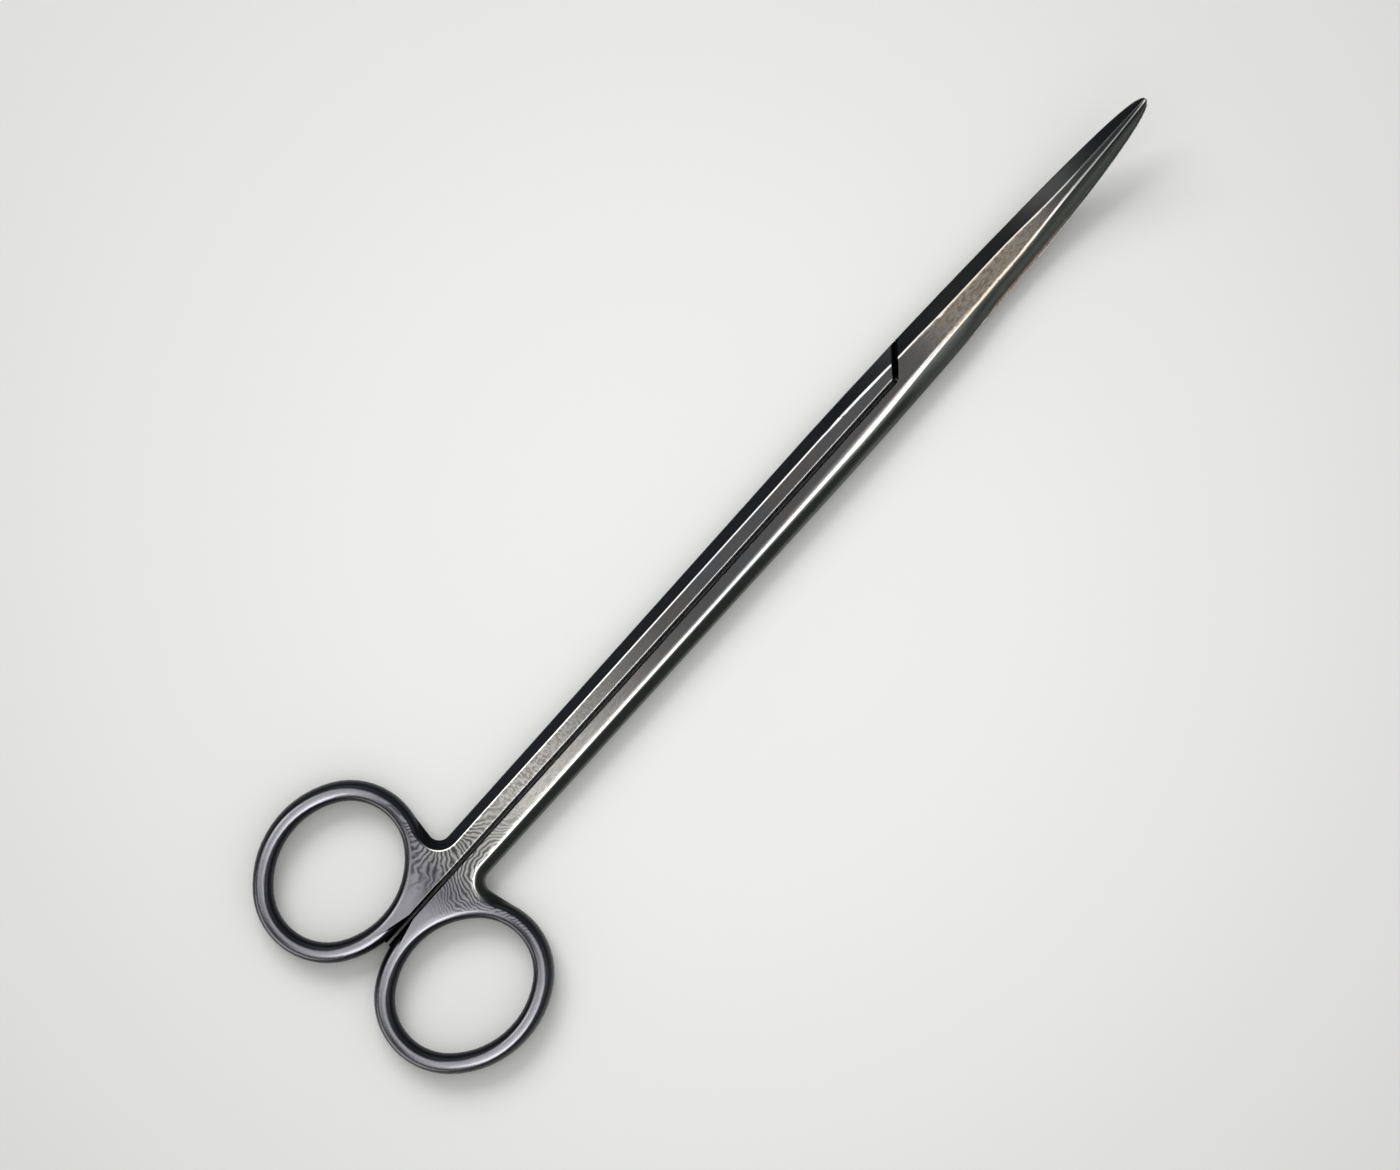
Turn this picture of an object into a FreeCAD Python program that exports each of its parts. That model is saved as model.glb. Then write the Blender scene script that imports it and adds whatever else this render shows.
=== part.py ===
import FreeCAD, Part
import math
import os

from FreeCAD import Placement, Rotation, Vector

# Dissecting scissors, closed and lying flat: two forged halves on one screw, their slender blades curved up.
# X runs from the finger rings to the tips, Y to the left half's side, and Z up from under the middle.

# Lengths along the scissors
length = 180.0
blade_reach = 48.0
shoulder_distance = 7.7

# Shanks and joint
root_half_width = 4.05
joint_half_width = 4.38
widest_behind_pivot = 22.0
joint_half_thickness = 2.2
rest_trim = 0.03
flat_ahead_of_pivot = 8.0
shank_facet = 2.45
side_half_height = 0.45
facet_round = 0.8
side_round = 0.3

# Blades
plan_taper = 1.6
width_taper = 0.41
thickness_taper = 0.3
blade_facet_share = 0.37
tip_facet_share = 0.2
narrowing_start = 16.0
narrowing_end = 32.5
edge_start = 4.0
edge_run = 8.0
edge_inset = 0.45
edge_half_height = 0.15
edge_round = 0.02
edge_inset_share = 0.3
bow_start = 13.4
bow_radius = 78.0
tip_trim = 0.05
bar_steps = 30

# Gaps between the halves
split_gap = 0.45
shoulder_gap = 0.45
mating_gap = 0.08
split_chamfer = 0.25

# Finger rings
ring_long_inner = 22.2
ring_short_inner = 18.4
ring_band = 3.15
ring_half_height = 1.9
web_step = 0.02
wall_inset = 0.1
ring_inset = 0.05
ring_tilt = 7.0
corner_radius = 1.8
wall_lean = 10.0
web_length = 18.0
fade_length = 6.5
fade_width = 1.6

# Screw
head_radius = 1.6
head_height = 0.9
head_recess = 0.05
journal_radius = 1.15
thread_radius = 0.9
thread_length = 1.45
slot_width = 0.55
slot_depth = 0.45
head_clearance = 0.06
journal_clearance = 0.03
thread_clearance = 0.02
end_float = 0.03

# How far the cutting shapes run on, the most of a side that a rounding takes, and how near a wanted edge lies
clear = 10.0
rounding_share = 0.4
near = 0.001

# Places that follow from the sizes above
tip_x = length / 2
rings_x = -length / 2
pivot_x = tip_x - blade_reach
mid_z = joint_half_thickness - rest_trim
shoulder_x = pivot_x - shoulder_distance
widest_x = pivot_x - widest_behind_pivot
flat_front_x = pivot_x + flat_ahead_of_pivot
root_half_thickness = ring_half_height + web_step


def ease(x, start, end):
    """Smooth step from 0 at start to 1 at end."""
    t = min(max((x - start) / (end - start), 0.0), 1.0)
    return t * t * (3 - 2 * t)


def half_width(x):
    """Half the width of the closed pair: a slow swell along the shanks, then a taper to the blunt tip."""
    if x <= widest_x:
        share = (x - root_x) / (widest_x - root_x)
        return root_half_width + (joint_half_width - root_half_width) * share
    along = (x - widest_x) / (tip_x - widest_x)
    return joint_half_width * (1 - along**plan_taper) ** width_taper


def half_thickness(x):
    """Height of the facets above the plane or curve in which the halves meet."""
    if x <= widest_x:
        share = (x - root_x) / (widest_x - root_x)
        return root_half_thickness + (joint_half_thickness - root_half_thickness) * share
    if x <= flat_front_x:
        return joint_half_thickness
    return joint_half_thickness * ((tip_x - x) / (tip_x - flat_front_x)) ** thickness_taper


def bow(x):
    """Rise of the blades' meeting curve, straight at the joint and then a circular arc."""
    run = max(x - pivot_x - bow_start, 0.0)
    return bow_radius - math.sqrt(bow_radius**2 - run**2)


def rounded_wire(corners, radii):
    """Closed wire through the corners, each replaced by an arc that its two sides have room for."""
    edges = []
    count = len(corners)
    cuts = []
    for i, corner in enumerate(corners):
        before = corners[i - 1] - corner
        after = corners[(i + 1) % count] - corner
        half_turn = before.getAngle(after) / 2
        room = rounding_share * min(before.Length, after.Length)
        back = min(radii[i] / math.tan(half_turn), room)
        radius = back * math.tan(half_turn)
        start = corner + before.normalize() * back
        end = corner + after.normalize() * back
        inward = (before + after).normalize()
        middle = corner + inward * (radius / math.sin(half_turn) - radius)
        cuts.append((start, middle, end))
    for i, (start, middle, end) in enumerate(cuts):
        edges.append(Part.Arc(start, middle, end).toShape())
        edges.append(Part.LineSegment(end, cuts[(i + 1) % count][0]).toShape())
    return Part.Wire(edges)


def section(x, turn):
    """Section of one half's bar. The lower half, whose turn is -1, is the upper one turned over."""
    width = half_width(x)
    height = half_thickness(x)
    shrink = (height / joint_half_thickness) ** 2
    into_blade = ease(x, widest_x, flat_front_x)
    narrowed = ease(x, pivot_x + narrowing_start, pivot_x + narrowing_end)
    share = (1 - narrowed) * blade_facet_share + narrowed * tip_facet_share
    facet = (1 - into_blade) * shank_facet + into_blade * share * width
    edge = ease(x, pivot_x + edge_start, pivot_x + edge_start + edge_run)
    back_side = side_half_height * shrink
    edge_side = (1 - edge) * side_half_height + edge * edge_half_height * shrink
    edge_width = width - edge * min(edge_inset, edge_inset_share * width)
    corners = [
        (-edge_width, edge_side),
        (-facet, height),
        (facet, height),
        (width, back_side),
        (width, -back_side),
        (facet, -height),
        (-facet, -height),
        (-edge_width, -edge_side),
    ]
    side = side_round * shrink
    sharp = (1 - edge) * side_round + edge * edge_round
    crest = facet_round * shrink
    radii = [sharp, crest, crest, side, side, crest, crest, sharp]
    level = mid_z + bow(x)
    points = [Vector(x, turn * y, level + turn * z) for y, z in corners]
    return rounded_wire(points, radii)


def bar(turn):
    """One half's bar from the ring's root to the tip, before it is cut to its side and its level."""
    shank = Part.makeLoft([section(root_x, turn), section(widest_x, turn)], True, True)
    taper = tip_x - widest_x
    stations = [tip_x - taper * (1 - step / bar_steps) ** 2 for step in range(bar_steps)]
    blade = Part.makeLoft([section(x, turn) for x in stations + [tip_x - tip_trim]], True, False)
    return shank, blade


def shank_zone(side, inner, forward):
    """Space on one side from its inner wall outwards, as far forward as the slanted shoulder."""
    rear = rings_x - clear
    outer = length / 2
    knee = shoulder_x + forward
    plan = [(rear, inner), (knee + inner, inner), (knee + outer, outer), (rear, outer)]
    points = [Vector(x, side * y, -clear) for x, y in plan]
    return Part.Face(Part.makePolygon(points + points[:1])).extrude(Vector(0, 0, length / 2))


def mating_zone(turn):
    """Space on one half's side of the meeting surface, turned about the pivot so that the blades slide."""
    rim = blade_reach + clear
    offset = turn * mating_gap / 2
    radius = bow_radius - offset
    rise = math.asin((rim - bow_start) / radius)
    top = mid_z + bow_radius
    flat_end = Vector(bow_start, 0, mid_z + offset)
    half_way = Vector(bow_start + radius * math.sin(rise / 2), 0, top - radius * math.cos(rise / 2))
    arc_end = Vector(rim, 0, top - radius * math.cos(rise))
    far = mid_z + turn * bow_radius
    centre = Vector(0, 0, mid_z + offset)
    edges = [
        Part.LineSegment(centre, flat_end).toShape(),
        Part.Arc(flat_end, half_way, arc_end).toShape(),
        Part.LineSegment(arc_end, Vector(rim, 0, far)).toShape(),
        Part.LineSegment(Vector(rim, 0, far), Vector(0, 0, far)).toShape(),
        Part.LineSegment(Vector(0, 0, far), centre).toShape(),
    ]
    zone = Part.Face(Part.Wire(edges)).revolve(Vector(0, 0, 0), Vector(0, 0, 1), 360)
    zone.translate(Vector(pivot_x, 0, 0))
    return zone


def groove(start, end, height_start, height_end):
    """V along the top of a gap between two points in plan, which chamfers the edges on both its sides."""
    run = (end - start).normalize()
    across = Vector(-run.y, run.x, 0) * (split_gap / 2 + 2 * split_chamfer)
    depth = split_gap / 2 + split_chamfer
    wires = []
    for point, height in ((start, height_start), (end, height_end)):
        bottom = point + Vector(0, 0, height - depth)
        crown = point + Vector(0, 0, height + split_chamfer)
        wires.append(Part.makePolygon([bottom, crown + across, crown - across, bottom]))
    return Part.makeLoft(wires, True, True)


# Plan of the left finger ring: an oval of four tangent arcs, its long axis turned outwards in front
long_middle = (ring_long_inner + ring_band) / 2
short_middle = (ring_short_inner + ring_band) / 2
corner_to_corner = math.hypot(long_middle, short_middle)
excess = (long_middle - short_middle) * corner_to_corner
end_radius = (corner_to_corner**2 - excess) / (2 * long_middle)
side_radius = (corner_to_corner**2 + excess) / (2 * short_middle)
end_centre = long_middle - end_radius
side_centre = side_radius - short_middle
joint_angle = math.degrees(math.atan2(side_centre, end_centre))
tilt = math.radians(ring_tilt)
ring_side_reach = side_radius + ring_band / 2 - side_centre * math.cos(tilt)
ring_end_reach = end_radius + ring_band / 2 + end_centre * math.cos(tilt)
ring_centre = Vector(rings_x + ring_end_reach, split_gap / 2 + ring_inset + ring_side_reach, mid_z)

# The web's front wall leans from the ring's outside to the round corner at the shank's root
lean = math.radians(wall_lean)
outward = Vector(math.cos(lean), -math.sin(lean), 0)
front_end = ring_centre + Vector(math.cos(tilt), math.sin(tilt), 0) * end_centre
wall_top = front_end + outward * (end_radius + ring_band / 2 - wall_inset)
corner_y = root_half_width + corner_radius
corner_x = (wall_top.dot(outward) + corner_radius - outward.y * corner_y) / outward.x
corner = Vector(corner_x, corner_y, mid_z)
wall_foot = corner - outward * corner_radius
root_x = corner.x


def oval_arcs():
    """Centre, radius, first angle and sweep of an untilted ring's arcs, which have a joint at the wall."""
    side_sweep = 180 - 2 * joint_angle
    wall_angle = -(ring_tilt + wall_lean)
    return [
        (Vector(end_centre, 0, 0), end_radius, -joint_angle, joint_angle + wall_angle),
        (Vector(end_centre, 0, 0), end_radius, wall_angle, joint_angle - wall_angle),
        (Vector(0, -side_centre, 0), side_radius, joint_angle, side_sweep),
        (Vector(-end_centre, 0, 0), end_radius, 180 - joint_angle, 2 * joint_angle),
        (Vector(0, side_centre, 0), side_radius, 180 + joint_angle, side_sweep),
    ]


def set_at_ring(shape):
    """Moves a shape that was made about the origin to the left ring's place and tilt."""
    shape.Placement = Placement(ring_centre, Rotation(Vector(0, 0, 1), ring_tilt)).multiply(shape.Placement)
    return shape


def ring():
    """Finger ring: an oval section, its longer half axis named first, turned along the middle line's arcs."""
    band = []
    for centre, radius, start, sweep in oval_arcs():
        middle = centre + Vector(radius, 0, 0)
        half_axes = [middle + Vector(0, 0, ring_half_height), middle + Vector(ring_band / 2, 0, 0)]
        half_axes.sort(key=middle.distanceToPoint, reverse=True)
        oval = Part.Ellipse(*half_axes, middle)
        profile = Part.Wire([oval.toShape(0, math.pi), oval.toShape(math.pi, 2 * math.pi)])
        profile.rotate(centre, Vector(0, 0, 1), start)
        band.append(Part.Face(profile).revolve(centre, Vector(0, 0, 1), sweep))
    return set_at_ring(band[0].fuse(band[1:]))


def ring_core():
    """Upright block inside the ring's middle line."""
    edges = []
    for centre, radius, start, sweep in oval_arcs():
        ends = [math.radians(start + sweep * share) for share in (0, 0.5, 1)]
        points = [centre + Vector(math.cos(angle), math.sin(angle), 0) * radius for angle in ends]
        edges.append(Part.Arc(*points).toShape())
    core = Part.Face(Part.Wire(edges)).extrude(Vector(0, 0, 4 * ring_half_height))
    core.translate(Vector(0, 0, -2 * ring_half_height))
    return set_at_ring(core)


def web():
    """Plate between ring and shank, bevelled along its front wall and corner and fading out at its rear."""
    inner = split_gap / 2
    rear_x = root_x - web_length
    front_out = Vector(root_x, root_half_width, mid_z)
    front_in = Vector(root_x, inner, mid_z)
    rear_in = Vector(rear_x, inner, mid_z)
    rear_out = Vector(rear_x, ring_centre.y, mid_z)
    into_corner = (Vector(0, -1, 0) - outward).normalize()
    outline = [front_out, front_in, rear_in, rear_out, wall_top, wall_foot]
    edges = [Part.LineSegment(*ends).toShape() for ends in zip(outline, outline[1:])]
    edges.append(Part.Arc(wall_foot, corner + into_corner * corner_radius, front_out).toShape())
    plan = Part.Face(Part.Wire(edges))
    plan.translate(Vector(0, 0, -root_half_thickness))
    plate = plan.extrude(Vector(0, 0, 2 * root_half_thickness))
    rise = root_half_thickness - side_half_height
    bevel = root_half_width - shank_facet
    wall = wall_top - wall_foot
    for up in (1, -1):
        skyward = Vector(0, 0, up)
        low = skyward * side_half_height
        high = skyward * (side_half_height + 2 * rise)
        mouth = corner_radius + 2 * bevel
        plate = plate.cut(Part.makeCone(corner_radius, mouth, 2 * rise, corner + low, skyward))
        slope = [low, low + outward, high + outward, high - outward * 2 * bevel]
        points = [wall_foot + point for point in slope]
        plate = plate.cut(Part.Face(Part.makePolygon(points + points[:1])).extrude(wall * 2))
    plate = round_crests(plate, bevel).cut(ring_core())
    for up in (1, -1):
        high = Vector(0, 0, up * root_half_thickness)
        corners = [front_in + high, rear_in + high, rear_in]
        corners[0].x = rear_x + fade_length
        corners[1].y = inner + fade_width
        facet = Part.Face(Part.makePolygon(corners + corners[:1]))
        plate = plate.cut(facet.extrude((corners[1] - corners[0]).cross(corners[2] - corners[0]) * up))
    return plate


def round_crests(plate, bevel):
    """Rounds the web's edges between its flats and its bevels, as along the shank."""
    crests = []
    for edge in plate.Edges:
        middle = edge.valueAt((edge.FirstParameter + edge.LastParameter) / 2)
        level = abs(abs(middle.z - mid_z) - root_half_thickness) < near
        flat = Vector(middle.x, middle.y, mid_z)
        on_wall = abs((flat - wall_foot).dot(outward) + bevel) < near
        on_corner = abs(flat.distanceToPoint(corner) - corner_radius - bevel) < near
        if level and (on_wall or on_corner):
            crests.append(edge)
    return plate.makeFillet(facet_round, crests)


def half(turn):
    """One forged half, ground flat where it rests. Its shank lies on the side of -turn."""
    side = -turn
    own_shank = shank_zone(side, 0, -shoulder_gap / 2)
    other_shank = shank_zone(-side, -split_gap / 2, shoulder_gap / 2)
    shank, blade = bar(turn)
    shank = shank.cut(other_shank)
    blade = blade.common(mating_zone(turn).fuse(own_shank)).cut(other_shank)
    body = blade.fuse(shank)
    handle = ring().fuse(web())
    if side < 0:
        handle = handle.mirror(Vector(0, 0, 0), Vector(0, 1, 0))
    body = body.fuse(handle)
    rear = Vector(ring_centre.x, 0, 0)
    root = Vector(root_x, 0, 0)
    widest = Vector(widest_x, 0, 0)
    knee = Vector(shoulder_x, 0, 0)
    outer_end = knee + Vector(clear, clear, 0)
    for up in (1, -1):
        cuts = [
            groove(rear, root, root_half_thickness, root_half_thickness),
            groove(root, widest, root_half_thickness, joint_half_thickness),
            groove(widest, knee, joint_half_thickness, joint_half_thickness),
            groove(knee, outer_end, joint_half_thickness, joint_half_thickness),
        ]
        for cut in cuts:
            cut.rotate(Vector(0, 0, 0), Vector(1, 0, 0), 0 if up > 0 else 180)
            cut.translate(Vector(0, 0, mid_z))
            body = body.cut(cut)
    below = Part.makeBox(2 * length, length, clear, Vector(-length, -length / 2, -clear))
    return body.cut(below)


def upper_half():
    """The half that lies on top at the joint, with a blind tapped hole in its meeting face."""
    depth = mating_gap + thread_length + end_float
    foot = Vector(pivot_x, 0, mid_z - mating_gap)
    tapped = Part.makeCylinder(thread_radius + thread_clearance, depth, foot)
    return half(1).cut(tapped)


def lower_half():
    """The half underneath, with a hole for the screw's journal and a seat for its head."""
    hole = Part.makeCylinder(journal_radius + journal_clearance, 2 * mid_z, Vector(pivot_x, 0, -mid_z / 2))
    depth = mid_z + head_recess + head_height + end_float
    seat = Part.makeCylinder(head_radius + head_clearance, depth, Vector(pivot_x, 0, -mid_z))
    return half(-1).cut(hole).cut(seat)


def pivot_screw():
    """Slotted screw: a flush head underneath, a plain journal in the lower half, a thread in the upper."""
    foot = Vector(pivot_x, 0, head_recess)
    head_top = Vector(pivot_x, 0, head_recess + head_height)
    shoulder_z = mid_z + mating_gap / 2 - end_float
    head = Part.makeCylinder(head_radius, head_height, foot)
    journal = Part.makeCylinder(journal_radius, shoulder_z - foot.z, foot)
    thread = Part.makeCylinder(thread_radius, shoulder_z + thread_length - head_top.z, head_top)
    slot_corner = Vector(pivot_x - 2 * head_radius, -slot_width / 2, 0)
    slot = Part.makeBox(4 * head_radius, slot_width, head_recess + slot_depth, slot_corner)
    return head.fuse([journal, thread]).cut(slot).removeSplitter()


os.makedirs("parts", exist_ok=True)
upper_half().Solids[0].exportStep("parts/upper_half.step")
lower_half().Solids[0].exportStep("parts/lower_half.step")
pivot_screw().Solids[0].exportStep("parts/pivot_screw.step")
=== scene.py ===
import math
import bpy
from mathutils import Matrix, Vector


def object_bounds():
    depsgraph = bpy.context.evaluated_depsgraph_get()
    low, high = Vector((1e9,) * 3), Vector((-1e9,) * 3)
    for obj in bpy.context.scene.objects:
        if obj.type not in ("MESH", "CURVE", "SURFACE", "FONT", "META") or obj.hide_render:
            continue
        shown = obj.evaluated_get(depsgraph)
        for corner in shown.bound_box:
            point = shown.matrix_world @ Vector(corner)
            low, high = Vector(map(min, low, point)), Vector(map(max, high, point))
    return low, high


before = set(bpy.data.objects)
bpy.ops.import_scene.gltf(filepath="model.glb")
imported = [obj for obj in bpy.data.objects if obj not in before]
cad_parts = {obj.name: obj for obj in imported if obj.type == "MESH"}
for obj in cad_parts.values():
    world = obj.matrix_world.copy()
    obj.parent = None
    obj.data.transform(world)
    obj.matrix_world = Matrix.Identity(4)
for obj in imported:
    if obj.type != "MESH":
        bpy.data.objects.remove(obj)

from types import SimpleNamespace

import bpy
from mathutils import Matrix, Vector

cad_low, cad_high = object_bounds()
scene = bpy.context.scene
scene.view_settings.view_transform = "Standard"

# The viewpoint: looking down on the closed scissors from well above, a little from the right half's side
# and from the tips, which point to the upper right of the picture.
view_distance = 1.5
view_width = 0.20855
picture_turn = math.radians(-47.926)
side_lean = math.radians(3.5)
tip_lean = math.radians(1.83)
looked_at = Vector((-0.00787, 0.0013, 0.0022))

camera_data = bpy.data.cameras.new("camera")
camera_data.sensor_width = 36.0
camera_data.lens = camera_data.sensor_width * view_distance / view_width
camera_data.clip_start = 0.01
camera_data.clip_end = 20.0
camera = bpy.data.objects.new("camera", camera_data)
scene.collection.objects.link(camera)
lean = Matrix.Rotation(side_lean, 4, "X") @ Matrix.Rotation(tip_lean, 4, "Y")
stand = Matrix.Translation(looked_at + lean @ Vector((0, 0, view_distance)))
camera.matrix_world = stand @ lean @ Matrix.Rotation(picture_turn, 4, "Z")
scene.camera = camera


# The two halves: forged from stainless steel, ground on a belt and then polished by hand, so the flats keep
# a fine grain along their length, the webs keep the curved marks of the wheel, and the rings have a smooth
# satin skin. Their steep walls are painted dark as shade and dark reflections, and their crests and split
# edges carry painted light. The left half has the lower blade and the right half the upper one.
def feed(tree, node, inputs):
    """Sets a node's inputs to values, or links them to sockets."""
    for name, value in inputs.items():
        if isinstance(value, bpy.types.NodeSocket):
            tree.links.new(value, node.inputs[name])
        else:
            node.inputs[name].default_value = value


def add_node(tree, kind, inputs, **settings):
    """A node with its settings, whose inputs are given as values or as the sockets that feed them."""
    made = tree.nodes.new(kind)
    for name, value in settings.items():
        setattr(made, name, value)
    feed(tree, made, inputs)
    return made


def math_node(tree, operation, *values):
    """The result of one step of arithmetic on numbers."""
    return add_node(tree, "ShaderNodeMath", dict(enumerate(values)), operation=operation).outputs[0]


def vector_node(tree, operation, *values):
    """The result of one step on vectors: a number for a length or a dot product, else a vector."""
    result = "Value" if operation in ("LENGTH", "DOT_PRODUCT") else "Vector"
    made = add_node(tree, "ShaderNodeVectorMath", dict(enumerate(values)), operation=operation)
    return made.outputs[result]


def product(tree, first, *others):
    """Several numbers multiplied together."""
    for other in others:
        first = math_node(tree, "MULTIPLY", first, other)
    return first


def rest_of(tree, share):
    """What a share leaves of the whole."""
    return math_node(tree, "SUBTRACT", 1.0, share)


def parts_of(tree, vector):
    """A vector's X, Y and Z."""
    return add_node(tree, "ShaderNodeSeparateXYZ", {0: vector}).outputs


def remap(tree, value, low, high, to_low=0.0, to_high=1.0):
    """Smooth step of a value from one range to another."""
    inputs = {"Value": value, "From Min": low, "From Max": high, "To Min": to_low, "To Max": to_high}
    return add_node(tree, "ShaderNodeMapRange", inputs, interpolation_type="SMOOTHSTEP").outputs["Result"]


def blend_colour(tree, share, first, second):
    """The first colour, with a share of the second over it."""
    inputs = {"Factor": share, 6: first, 7: second}
    return add_node(tree, "ShaderNodeMix", inputs, data_type="RGBA").outputs[2]


def noise(tree, place, scale, detail, distortion=0.0):
    """A cloudy value from 0 to 1 at a place."""
    inputs = {"Vector": place, "Scale": scale, "Detail": detail, "Distortion": distortion}
    return add_node(tree, "ShaderNodeTexNoise", inputs).outputs["Fac"]


def place_in_millimetres(tree):
    """A point of the part at rest, in millimetres."""
    point = add_node(tree, "ShaderNodeTexCoord", {}).outputs["Object"]
    scaled = add_node(tree, "ShaderNodeVectorMath", {0: point, "Scale": 1000.0}, operation="SCALE")
    return scaled.outputs[0]


FLOAT = "NodeSocketFloat"
VECTOR = "NodeSocketVector"


def new_group(name, inputs, outputs):
    """A shader node group with named sockets. inputs gives a socket's kind and value, outputs its kind."""
    tree = bpy.data.node_groups.new(name, "ShaderNodeTree")
    for label, (kind, value) in inputs.items():
        socket = tree.interface.new_socket(label, in_out="INPUT", socket_type=kind)
        socket.default_value = value
    for label, kind in outputs.items():
        tree.interface.new_socket(label, in_out="OUTPUT", socket_type=kind)
    return tree, tree.nodes.new("NodeGroupInput").outputs, tree.nodes.new("NodeGroupOutput").inputs


def place_group(tree, group, **values):
    """The group as a node of a material, with its named inputs given as values or sockets."""
    made = tree.nodes.new("ShaderNodeGroup")
    made.node_tree = group
    feed(tree, made, values)
    return made.outputs


def belt_grain():
    """Grain that a belt leaves along the steel: long streaks in two widths."""
    inputs = {"Place": (VECTOR, (0, 0, 0)), "Streak": (FLOAT, 4.0), "Width": (FLOAT, 0.06)}
    group, given, result = new_group("belt grain", inputs, {"Height": FLOAT})
    broad_share = 0.7
    thin = math_node(group, "DIVIDE", 1.0, given["Width"])
    along = math_node(group, "DIVIDE", 1.0, given["Streak"])
    squeeze = add_node(group, "ShaderNodeCombineXYZ", {"X": along, "Y": thin, "Z": thin}).outputs[0]
    stretched = vector_node(group, "MULTIPLY", given["Place"], squeeze)
    fine = noise(group, stretched, scale=1.0, detail=3.0)
    broad = noise(group, stretched, scale=0.23, detail=1.0)
    height = math_node(group, "ADD", fine, math_node(group, "MULTIPLY", broad, broad_share))
    group.links.new(height, result["Height"])
    return group


def wheel_marks():
    """Curved wheel marks that fan out round the corner between a ring and its shank.

    Rays is the share of them that leave the corner straight, and the others go round it.
    """
    places = {"Place": (VECTOR, (0, 0, 0)), "Corner": (VECTOR, (0, 0, 0))}
    inputs = {**places, "Rays": (FLOAT, 1.0), "Reach": (FLOAT, 9.0)}
    group, given, result = new_group("wheel marks", inputs, {"Height": FLOAT, "Mask": FLOAT})
    ray_count = 44.0
    arcs_per_millimetre = 13.0
    wander_depth = 26.0
    even_share_of_reach = 0.55
    from_corner = vector_node(group, "SUBTRACT", given["Place"], given["Corner"])
    flat = vector_node(group, "MULTIPLY", from_corner, (1, 1, 0))
    spread = vector_node(group, "LENGTH", flat)
    parts = parts_of(group, flat)
    bearing = math_node(group, "ARCTAN2", parts["Y"], parts["X"])
    ray_phase = math_node(group, "MULTIPLY", bearing, ray_count)
    arc_phase = math_node(group, "MULTIPLY", spread, arcs_per_millimetre)
    turned = math_node(group, "MULTIPLY", math_node(group, "SUBTRACT", arc_phase, ray_phase), given["Rays"])
    wander = math_node(group, "MULTIPLY", noise(group, flat, scale=0.33, detail=2.0), wander_depth)
    phase = math_node(group, "ADD", math_node(group, "SUBTRACT", arc_phase, turned), wander)
    wave = math_node(group, "MULTIPLY_ADD", math_node(group, "SINE", phase), 0.5, 0.5)
    patches = remap(group, noise(group, flat, scale=0.9, detail=2.0), 0.18, 0.45)
    even_reach = math_node(group, "MULTIPLY", given["Reach"], even_share_of_reach)
    group.links.new(math_node(group, "MULTIPLY", wave, patches), result["Height"])
    group.links.new(remap(group, spread, given["Reach"], even_reach), result["Mask"])
    return group


def mottled_skin():
    """Pits and smears left by handling and sterilising: a mottle of small blots and large faint clouds.

    Draw gives how closely they follow each other along, across and up.
    """
    inputs = {"Place": (VECTOR, (0, 0, 0)), "Draw": (VECTOR, (1, 1, 1)), "Size": (FLOAT, 0.5)}
    group, given, result = new_group("mottle", inputs, {"Blots": FLOAT, "Clouds": FLOAT})
    blot_scale = math_node(group, "DIVIDE", 1.0, given["Size"])
    drawn = vector_node(group, "MULTIPLY", given["Place"], given["Draw"])
    blots = noise(group, drawn, blot_scale, detail=4.0, distortion=0.6)
    clouds = noise(group, drawn, scale=0.16, detail=2.0)
    group.links.new(remap(group, blots, 0.40, 0.62), result["Blots"])
    group.links.new(remap(group, clouds, 0.35, 0.65), result["Clouds"])
    return group


def edge_wear():
    """Worn edges: the normal rounded over a small width, and where it leaves the true one."""
    inputs = {"Width": (FLOAT, 0.0003)}
    group, given, result = new_group("edge wear", inputs, {"Mask": FLOAT, "Normal": VECTOR})
    hardly_turned = 0.998
    fully_turned = 0.95
    rounded = add_node(group, "ShaderNodeBevel", {"Radius": given["Width"]}, samples=8).outputs[0]
    true_normal = add_node(group, "ShaderNodeNewGeometry", {}).outputs["Normal"]
    agreement = vector_node(group, "DOT_PRODUCT", rounded, true_normal)
    group.links.new(remap(group, agreement, hardly_turned, fully_turned), result["Mask"])
    group.links.new(rounded, result["Normal"])
    return group


grain = belt_grain()
fan = wheel_marks()
mottle = mottled_skin()
wear = edge_wear()

polished_grey = (0.50, 0.51, 0.53, 1)
ground_grey = (0.95, 0.93, 0.87, 1)
worn_bright = (0.90, 0.90, 0.87, 1)
# Near-black painted shade for the split's walls and along the shoulder gap.
slot_painted_shade = (0.005, 0.005, 0.006, 1)


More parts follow.
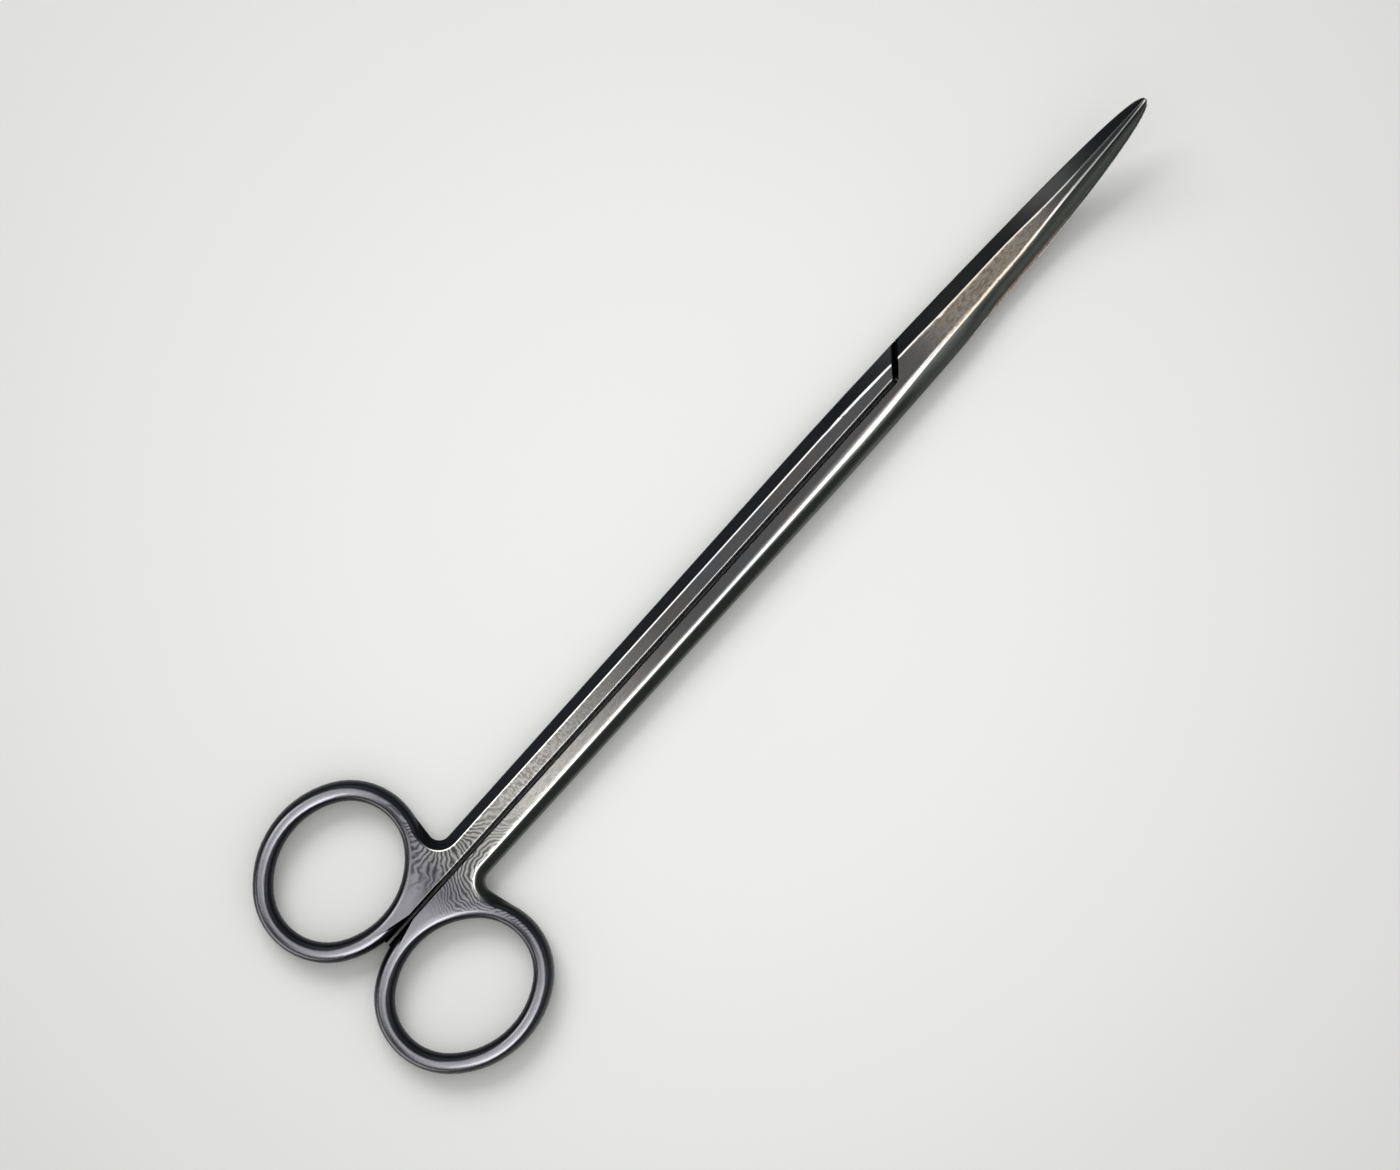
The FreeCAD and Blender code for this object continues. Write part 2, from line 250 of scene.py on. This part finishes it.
def where_on_half(tree, place, side):
    """Shares from 0 to 1 that say on which surface and stretch of a half a point is. side is 1 or -1.

    Each pair below says where a share is 0 and where it is 1. Places are in millimetres from the part's
    middle or from the split, and facings are the upward part of the surface's direction.
    """
    flat_facing = (0.93, 0.985)
    chamfer_facing = (0.45, 0.65)
    shank_wall_facing = (0.92, 0.80)
    ring_wall_facing = (0.95, 0.86)
    split_wall = (0.70, 0.50)
    ring_front = (-58.0, -62.0)
    satin_front = (-62.0, -68.0)
    rear_front = (-6.0, -50.0)
    shoulder = (33.5, 35.0)
    blade_rear = (34.0, 50.0)
    blade_front = (77.0, 59.0)
    tip_rear = (62.0, 76.0)
    ring_middle = (-75.8, 12.65, 0.0)
    ring_turn = (0.0, 0.0, math.radians(7.0))
    ring_reach = (12.7, 10.8, 1.0)
    ring_outline = (1.20, 1.06)
    lean_to_tips = -0.42

    spot = parts_of(tree, place)
    facing = parts_of(tree, add_node(tree, "ShaderNodeTexCoord", {}).outputs["Normal"])
    upright = math_node(tree, "ABSOLUTE", facing["Z"])
    outward = math_node(tree, "ABSOLUTE", spot["Y"])
    here = SimpleNamespace(x=spot["X"], y=spot["Y"], z=spot["Z"])
    here.own_side = math_node(tree, "MULTIPLY", spot["Y"], side)
    here.flat_top = remap(tree, upright, *flat_facing)
    here.by_split = remap(tree, outward, *split_wall)
    slanting = remap(tree, upright, *chamfer_facing)
    here.chamfer = product(tree, here.by_split, slanting, rest_of(tree, here.flat_top))

    one_side = add_node(tree, "ShaderNodeCombineXYZ", {"X": here.x, "Y": outward}).outputs[0]
    in_ring = {"Vector": one_side, "Location": ring_middle, "Rotation": ring_turn, "Scale": ring_reach}
    ring_place = add_node(tree, "ShaderNodeMapping", in_ring, vector_type="TEXTURE").outputs[0]
    across_ring = vector_node(tree, "LENGTH", ring_place)
    here.ring = product(tree, remap(tree, across_ring, *ring_outline), remap(tree, here.x, *ring_front))
    # Ring walls that face the tips count as steep sooner, so they take more of the painted dark wall colour:
    # painted shade on that side of the rings.
    turned_from_tips = math_node(tree, "MULTIPLY_ADD", facing["X"], lean_to_tips, upright)
    steep_shank = remap(tree, upright, *shank_wall_facing)
    steep_ring = remap(tree, turned_from_tips, *ring_wall_facing)
    steep_by_place = {"Factor": here.ring, 2: steep_shank, 3: steep_ring}
    here.steep = add_node(tree, "ShaderNodeMix", steep_by_place).outputs[0]

    here.satin = math_node(tree, "MAXIMUM", here.ring, remap(tree, here.x, *satin_front))
    here.rear = remap(tree, here.x, *rear_front)
    here.ground = math_node(tree, "MULTIPLY", here.rear, rest_of(tree, here.satin))
    here.past_shoulder = remap(tree, here.x, *shoulder)
    here.blade = product(tree, remap(tree, here.x, *blade_rear), remap(tree, here.x, *blade_front))
    here.tip = remap(tree, here.x, *tip_rear)
    here.rough = math_node(tree, "MAXIMUM", here.rear, here.blade)
    return here


def top_colour(tree, here, spots, marked, lines, dark_blots, blot_depth):
    """Colour of a half's upper flats, from the ring to the tip."""
    polished_warm = (0.56, 0.53, 0.52, 1)
    ground_dark = (0.26, 0.245, 0.22, 1)
    web_grey = (0.74, 0.73, 0.70, 1)
    wheel_dark = (0.08, 0.08, 0.10, 1)
    ring_grey = (0.37, 0.365, 0.40, 1)
    blade_grey = (0.42, 0.38, 0.32, 1)
    blade_stain = (0.20, 0.15, 0.12, 1)
    tip_grey = (0.33, 0.34, 0.33, 1)
    stain_depth = 0.85
    web_line_depth = 0.95
    shank_line_depth = 0.55
    web_tone = blend_colour(tree, remap(tree, here.x, -62.0, -55.0), web_grey, ground_grey)
    line_depth = remap(tree, here.x, -61.0, -53.0, web_line_depth, shank_line_depth)
    colour = blend_colour(tree, spots["Clouds"], polished_grey, polished_warm)
    for share, tone in (
            (here.ground, ground_grey),
            (marked, web_tone),
            (here.blade, blade_grey),
            (here.tip, tip_grey),
            (here.satin, ring_grey),
            (product(tree, dark_blots, here.ground, blot_depth), ground_dark),
            (product(tree, dark_blots, here.blade, stain_depth), blade_stain),
            (product(tree, lines, line_depth), wheel_dark)):
        colour = blend_colour(tree, share, colour, tone)
    return colour


def wall_colour(tree, here, flank, front_flank):
    """Colour of a half's steep walls, painted dark as shade and as dark reflections: its own flank outside,
    and painted darker shade in its ring and in the split.
    """
    shadowed_steel = (0.022, 0.023, 0.028, 1)
    blade_flank = (0.030, 0.032, 0.035, 1)
    own_flank = product(tree, remap(tree, here.own_side, 0.5, 1.0), rest_of(tree, here.ring))
    in_slot = product(tree, here.by_split, rest_of(tree, here.past_shoulder))
    inner_wall = blend_colour(tree, in_slot, shadowed_steel, slot_painted_shade)
    inner_wall = blend_colour(tree, here.past_shoulder, inner_wall, blade_flank)
    outer_wall = blend_colour(tree, remap(tree, here.x, 24.0, 34.0), flank, front_flank)
    return blend_colour(tree, own_flank, inner_wall, outer_wall)


def shoulder_gap_painted_shade(tree, here):
    """Share of the painted shade along the slanted shoulder gap, on the upper side."""
    shoulder_x = 34.3
    half_width = 0.65
    faded_out = 0.85
    along_slant = math_node(tree, "SUBTRACT", math_node(tree, "SUBTRACT", here.x, here.y), shoulder_x)
    near_slant = remap(tree, math_node(tree, "ABSOLUTE", along_slant), faded_out, half_width)
    return product(tree, near_slant, remap(tree, here.y, 0.2, 0.4), remap(tree, here.z, 1.7, 2.0))


def half_roughness(tree, here, streaks, dark_blots):
    """Roughness of a half: smoothest on its polished middle, more on ground, satin and steep surfaces."""
    smoothest = 0.10
    from_grain = 0.03
    from_grinding = 0.24
    from_satin = 0.14
    from_blots = 0.08
    rear_wall = 0.10
    blade_wall = 0.22
    from_wall = remap(tree, here.x, 30.0, 40.0, rear_wall, blade_wall)
    roughness = math_node(tree, "MULTIPLY_ADD", streaks, from_grain, smoothest)
    for share, more in (
            (product(tree, here.rough, here.flat_top), from_grinding),
            (here.ring, from_satin),
            (here.steep, from_wall),
            (product(tree, dark_blots, here.rough), from_blots)):
        roughness = math_node(tree, "MULTIPLY_ADD", share, more, roughness)
    return roughness


def half_relief(tree, here, streaks, lines, dark_blots):
    """Height of a half's fine marks, in millimetres: raised grain, and sunken blots and wheel marks."""
    grain_height = 0.0016
    blot_height = -0.010
    mark_height = -0.012
    relief = product(tree, streaks, here.flat_top, grain_height)
    relief = math_node(tree, "MULTIPLY_ADD", product(tree, dark_blots, here.rough), blot_height, relief)
    return math_node(tree, "MULTIPLY_ADD", lines, mark_height, relief)


def half_steel(name, side, corner, rays, draw, split_round, shank_round, blade_round, tip_round,
               crest_wear_and_highlight, blot_depth, flank, front_flank, split_edge_painted_tone):
    """Steel of one half. The rounds are widths of worn edges in metres, and the last three are painted
    colours: the dark shade and reflection of its flank walls along the shank and along the blade, and its
    split's chamfer.
    """
    marks_reach = 12.5
    blots_kept_from_marks = -0.75
    rear_edge_depth = 1.0
    front_edge_depth = 0.6
    material = bpy.data.materials.new(name)
    material.use_nodes = True
    tree = material.node_tree
    place = place_in_millimetres(tree)
    here = where_on_half(tree, place, side)
    streaks = place_group(tree, grain, Place=place, Streak=4.0, Width=0.06)["Height"]
    marks = place_group(tree, fan, Place=place, Corner=corner, Rays=rays, Reach=marks_reach)
    spots = place_group(tree, mottle, Place=place, Draw=draw, Size=0.5)
    own_round = remap(tree, here.x, -10.0, 34.0, shank_round, blade_round)
    inner_round = remap(tree, here.x, 64.0, 71.0, split_round, tip_round)
    worn = place_group(tree, wear, Width=remap(tree, here.own_side, 0.9, 1.5, inner_round, own_round))
    marked = math_node(tree, "MULTIPLY", marks["Mask"], here.flat_top)
    lines = math_node(tree, "MULTIPLY", marks["Height"], marked)
    clear_of_marks = math_node(tree, "MULTIPLY_ADD", marked, blots_kept_from_marks, 1.0)
    dark_blots = product(tree, spots["Blots"], here.flat_top, clear_of_marks)

    # The split's chamfer takes a painted tone: a painted highlight on the left half and painted shade on the
    # right, fading towards the front.
    edge_start = remap(tree, here.x, -68.0, -64.0)
    edge_depth = remap(tree, here.x, -30.0, 15.0, rear_edge_depth, front_edge_depth)
    edge_share = math_node(tree, "MULTIPLY", edge_start, edge_depth)
    colour = top_colour(tree, here, spots, marked, lines, dark_blots, blot_depth)
    for share, tone in (
            # Worn crests lightened, partly real wear and partly a painted highlight, much stronger on the
            # right half.
            (product(tree, worn["Mask"], crest_wear_and_highlight), worn_bright),
            (here.steep, wall_colour(tree, here, flank, front_flank)),
            (product(tree, here.chamfer, edge_share), split_edge_painted_tone),
            (shoulder_gap_painted_shade(tree, here), slot_painted_shade)):
        colour = blend_colour(tree, share, colour, tone)

    relief = half_relief(tree, here, streaks, lines, dark_blots)
    raised = {"Height": relief, "Strength": 1.0, "Distance": 0.001, "Normal": worn["Normal"]}
    bump = add_node(tree, "ShaderNodeBump", raised).outputs[0]
    roughness = half_roughness(tree, here, streaks, dark_blots)
    shown = {"Base Color": colour, "Roughness": roughness, "Normal": bump, "Metallic": 1.0}
    feed(tree, tree.nodes["Principled BSDF"], shown)
    return material


def dress(node, material):
    """Gives a piece of the frame its material."""
    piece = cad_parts[node]
    piece.data.materials.clear()
    piece.data.materials.append(material)


# The flank colours are painted dark reflection and shade, darker on the left half than on the right.
dress("lower_half", half_steel(
    "left half steel", side=1.0, corner=(-60.2, 5.9, 0.0), rays=1.0, draw=(1.2, 0.8, 1.0),
    split_round=0.00015, shank_round=0.00012, blade_round=0.00012, tip_round=0.00012,
    crest_wear_and_highlight=0.05, blot_depth=0.8,
    flank=(0.040, 0.044, 0.052, 1), front_flank=(0.11, 0.115, 0.12, 1), split_edge_painted_tone=(0.90, 0.90, 0.88, 1)))
dress("upper_half", half_steel(
    "right half steel", side=-1.0, corner=(-60.2, -5.9, 0.0), rays=0.15, draw=(0.6, 1.3, 1.0),
    split_round=0.00002, shank_round=0.0009, blade_round=0.0018, tip_round=0.0003,
    crest_wear_and_highlight=0.8, blot_depth=0.45,
    flank=(0.12, 0.128, 0.12, 1), front_flank=(0.082, 0.088, 0.080, 1), split_edge_painted_tone=(0.016, 0.016, 0.018, 1)))


# The pivot screw: turned from the same steel, with a slot across its head, which keeps fine rings from the
# tool. It goes in from the underside, through the lower half into the upper one.
def turned_steel(name):
    """Steel of the screw: fine rings round the pivot, a light mottle and bright worn edges."""
    pivot = (42.0, 0, 0)
    ring_phase_per_millimetre = 70.0
    ring_height = 0.002
    cloud_share = 0.6
    wear_share = 0.7
    smoothest = 0.18
    from_blots = 0.1
    material = bpy.data.materials.new(name)
    material.use_nodes = True
    tree = material.node_tree
    place = place_in_millimetres(tree)
    from_axis = vector_node(tree, "SUBTRACT", place, pivot)
    radius = vector_node(tree, "LENGTH", vector_node(tree, "MULTIPLY", from_axis, (1, 1, 0)))
    turning = math_node(tree, "SINE", math_node(tree, "MULTIPLY", radius, ring_phase_per_millimetre))
    spots = place_group(tree, mottle, Place=place, Size=0.3)
    worn = place_group(tree, wear, Width=0.0001)["Mask"]
    colour = blend_colour(tree, product(tree, spots["Clouds"], cloud_share), polished_grey, ground_grey)
    colour = blend_colour(tree, product(tree, worn, wear_share), colour, worn_bright)
    roughness = math_node(tree, "ADD", smoothest, product(tree, spots["Blots"], from_blots))
    raised = {"Height": product(tree, turning, ring_height), "Distance": 0.001}
    bump = add_node(tree, "ShaderNodeBump", raised).outputs[0]
    shown = {"Base Color": colour, "Roughness": roughness, "Normal": bump, "Metallic": 1.0}
    feed(tree, tree.nodes["Principled BSDF"], shown)
    return material


dress("pivot_screw", turned_steel("screw steel"))


# The table: a smooth pale board that the scissors lie on, with a painted pool of light: lightest near the
# middle of the picture and a little darker towards its corners. It is not part of the object.
def shape(name, points, faces):
    """An object of points and the faces between them."""
    mesh = bpy.data.meshes.new(name)
    mesh.from_pydata(points, [], faces)
    made = bpy.data.objects.new(name, mesh)
    scene.collection.objects.link(made)
    return made


def plane(name, width, depth):
    """A rectangle about the origin, facing up."""
    x, y = width / 2, depth / 2
    return shape(name, [(-x, -y, 0), (x, -y, 0), (x, y, 0), (-x, y, 0)], [(0, 1, 2, 3)])


def pale_board(name):
    """Matt pale board with a painted pool of light, lightest at one place and fading round it."""
    near_tone = (0.92, 0.92, 0.91, 1)
    far_tone = (0.69, 0.69, 0.68, 1)
    lightest_place = (-15.0, -15.0, 0.0)
    fade = (10.0, 190.0)
    material = bpy.data.materials.new(name)
    material.use_nodes = True
    tree = material.node_tree
    from_middle = vector_node(tree, "SUBTRACT", place_in_millimetres(tree), lightest_place)
    spread = vector_node(tree, "LENGTH", from_middle)
    tone = blend_colour(tree, remap(tree, spread, *fade), near_tone, far_tone)
    feed(tree, tree.nodes["Principled BSDF"], {"Base Color": tone, "Roughness": 0.9})
    return material


table_gap = 0.00001
table = plane("table", 8.0, 8.0)
table.location.z = cad_low.z - table_gap
table.data.materials.append(pale_board("pale board"))


# The light: a soft lamp on the left, which lights the table and throws the shadow, a wide lamp on each side
# that shows only in reflections, and grey cards overhead and round about, which show only there too.
def lamp(name, azimuth, height_angle, distance, size, power):
    """Soft rectangular lamp that looks at the scissors. Its azimuth is counted from the tips' direction."""
    data = bpy.data.lights.new(name, "AREA")
    data.shape = "RECTANGLE"
    data.size, data.size_y = size
    data.energy = power
    made = bpy.data.objects.new(name, data)
    around, up = math.radians(azimuth), math.radians(height_angle)
    away = Vector((math.cos(around) * math.cos(up), math.sin(around) * math.cos(up), math.sin(up)))
    made.location = looked_at + away * distance
    made.rotation_euler = away.to_track_quat("Z", "Y").to_euler()
    scene.collection.objects.link(made)
    return made


left_lamp = lamp("left lamp", azimuth=68, height_angle=39, distance=1.1, size=(0.9, 0.5), power=7.1)
left_lamp.visible_glossy = False
left_shine = lamp("left shine", azimuth=68, height_angle=50, distance=1.1, size=(1.3, 0.8), power=4.5)
left_shine.visible_diffuse = False
right_lamp = lamp("right lamp", azimuth=-90, height_angle=50, distance=1.1, size=(1.6, 0.9), power=8.0)
right_lamp.visible_diffuse = False


def card(name, made, tone):
    """Gives a card its flat tone and hides it from everything but reflections."""
    material = bpy.data.materials.new(name)
    material.use_nodes = True
    tree = material.node_tree
    feed(tree, tree.nodes["Principled BSDF"], {"Base Color": (*tone, 1), "Roughness": 1.0})
    made.data.materials.append(material)
    made.visible_camera = False
    made.visible_diffuse = False
    made.visible_shadow = False


def round_wall(name, radius, height, sides):
    """A low upright wall all round the origin."""
    points = []
    for turn in range(sides):
        angle = 2 * math.pi * turn / sides
        for level in (0.0, height):
            points.append((radius * math.cos(angle), radius * math.sin(angle), level))
    count = len(points)
    faces = [(k, k + 1, (k + 3) % count, (k + 2) % count) for k in range(0, count, 2)]
    return shape(name, points, faces)


ceiling = plane("ceiling card", 2.6, 0.65)
ceiling.location = (-0.5, 0.22, 0.9)
card("ceiling grey", ceiling, (0.188, 0.188, 0.193))
surround = round_wall("surround card", radius=0.8, height=0.36, sides=64)
card("surround black", surround, (0.05, 0.053, 0.056))

# The room beyond: an even pale grey, a little weaker where it only lights than where it is seen or mirrored.
room_grey = (0.83, 0.83, 0.82, 1)
strength_as_light = 0.745
strength_as_seen = 1.0
world = bpy.data.worlds.new("studio")
world.use_nodes = True
scene.world = world
tree = world.node_tree
path = add_node(tree, "ShaderNodeLightPath", {}).outputs
mirrored = math_node(tree, "MAXIMUM", path["Is Glossy Ray"], path["Is Transmission Ray"])
seen = math_node(tree, "MAXIMUM", path["Is Camera Ray"], mirrored)
strength = remap(tree, seen, 0.0, 1.0, strength_as_light, strength_as_seen)
feed(tree, tree.nodes["Background"], {"Color": room_grey, "Strength": strength})
